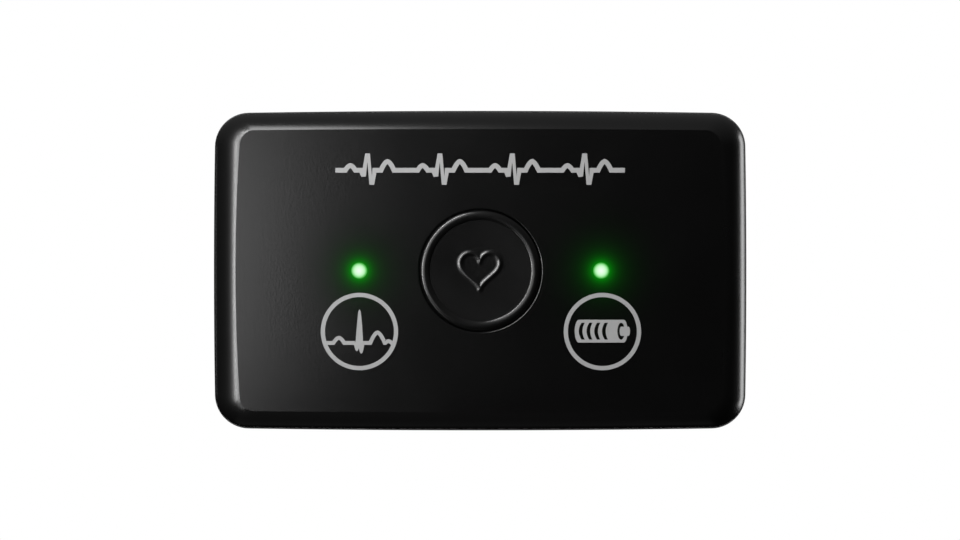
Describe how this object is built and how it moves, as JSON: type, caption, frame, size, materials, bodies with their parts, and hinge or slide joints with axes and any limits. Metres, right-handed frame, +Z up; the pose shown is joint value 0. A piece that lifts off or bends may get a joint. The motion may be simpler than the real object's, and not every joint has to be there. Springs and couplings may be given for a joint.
{
  "type": "holter monitor",
  "caption": "Black chest-worn heart recorder: bowed rounded case, round press button between green status lights, press-stud sockets and charge contacts on the flat back.",
  "frame": {"origin": "middle of the flat back face, which lies towards the skin", "axes": "+X to the right as seen from the front, +Z up as worn, +Y out of the back towards the skin; the face looks along -Y"},
  "size_m": [0.07, 0.013, 0.042],
  "materials": {
    "front_plastic": "polished shoulder round a satin face",
    "back_plastic": "fine matt grain",
    "button_plastic": "satin",
    "inner_plastic": "matt",
    "pale_plastic": "matt",
    "chip_resin": "matt",
    "board_laminate": "solder mask",
    "lit_pipe": "lit green",
    "led_resin": "clear resin",
    "grey_silicone": "matt",
    "black_silicone": "matt",
    "cell_tape": "double-sided tape",
    "cell_pouch": "laminated foil",
    "red_lead": "satin",
    "black_lead": "satin",
    "screw_steel": "satin",
    "spring_steel": "bright",
    "shield_steel": "tin plate",
    "socket_nickel": "nickel plate",
    "contact_gold": "gold plate"
  },
  "bodies": {
    "housing": {"front_cover": "front_plastic", "back_cover": "back_plastic", "perimeter_seal": "grey_silicone", "case_screw_1": "screw_steel", "case_screw_2": "screw_steel", "case_screw_3": "screw_steel", "case_screw_4": "screw_steel", "button_seal": "black_silicone", "seal_clamp": "inner_plastic", "switch_body": "chip_resin", "switch_dome": "spring_steel", "switch_cover": "shield_steel", "light_pipe_ecg": "lit_pipe", "light_pipe_battery": "lit_pipe", "ecg_led": "led_resin", "battery_led": "led_resin", "circuit_board": "board_laminate", "radio_module": "shield_steel", "processor_chip": "chip_resin", "memory_chip": "chip_resin", "front_end_chip": "chip_resin", "clock_crystal": "shield_steel", "battery_socket": "pale_plastic", "battery_plug": "pale_plastic", "battery_cell": "cell_pouch", "battery_tape": "cell_tape", "battery_lead_red": "red_lead", "battery_lead_black": "black_lead", "snap_socket_1": "socket_nickel", "snap_socket_2": "socket_nickel", "snap_socket_3": "socket_nickel", "snap_spring_1": "spring_steel", "snap_spring_2": "spring_steel", "snap_spring_3": "spring_steel", "contact_spring_1": "contact_gold", "contact_spring_2": "contact_gold", "contact_spring_3": "contact_gold", "charge_contact_1": "contact_gold", "charge_contact_2": "contact_gold", "charge_contact_3": "contact_gold", "charge_contact_4": "contact_gold"},
    "button": {"event_button": "button_plastic"},
    "plunger": {"switch_plunger": "pale_plastic"}
  },
  "joints": [
    {"name": "button_press", "type": "slide", "parent": "housing", "child": "button", "axis": [0, 1, 0], "range_m": [0, 0.0004], "stiffness_N_per_m": 5000, "deforming": ["button_seal"]},
    {"name": "plunger_press", "type": "slide", "parent": "housing", "child": "plunger", "axis": [0, 1, 0], "range_m": [0, 0.0004], "deforming": ["switch_dome"]}
  ],
  "couplings": [
    {"joint": "plunger_press", "follows": "button_press", "ratio": 1}
  ]
}
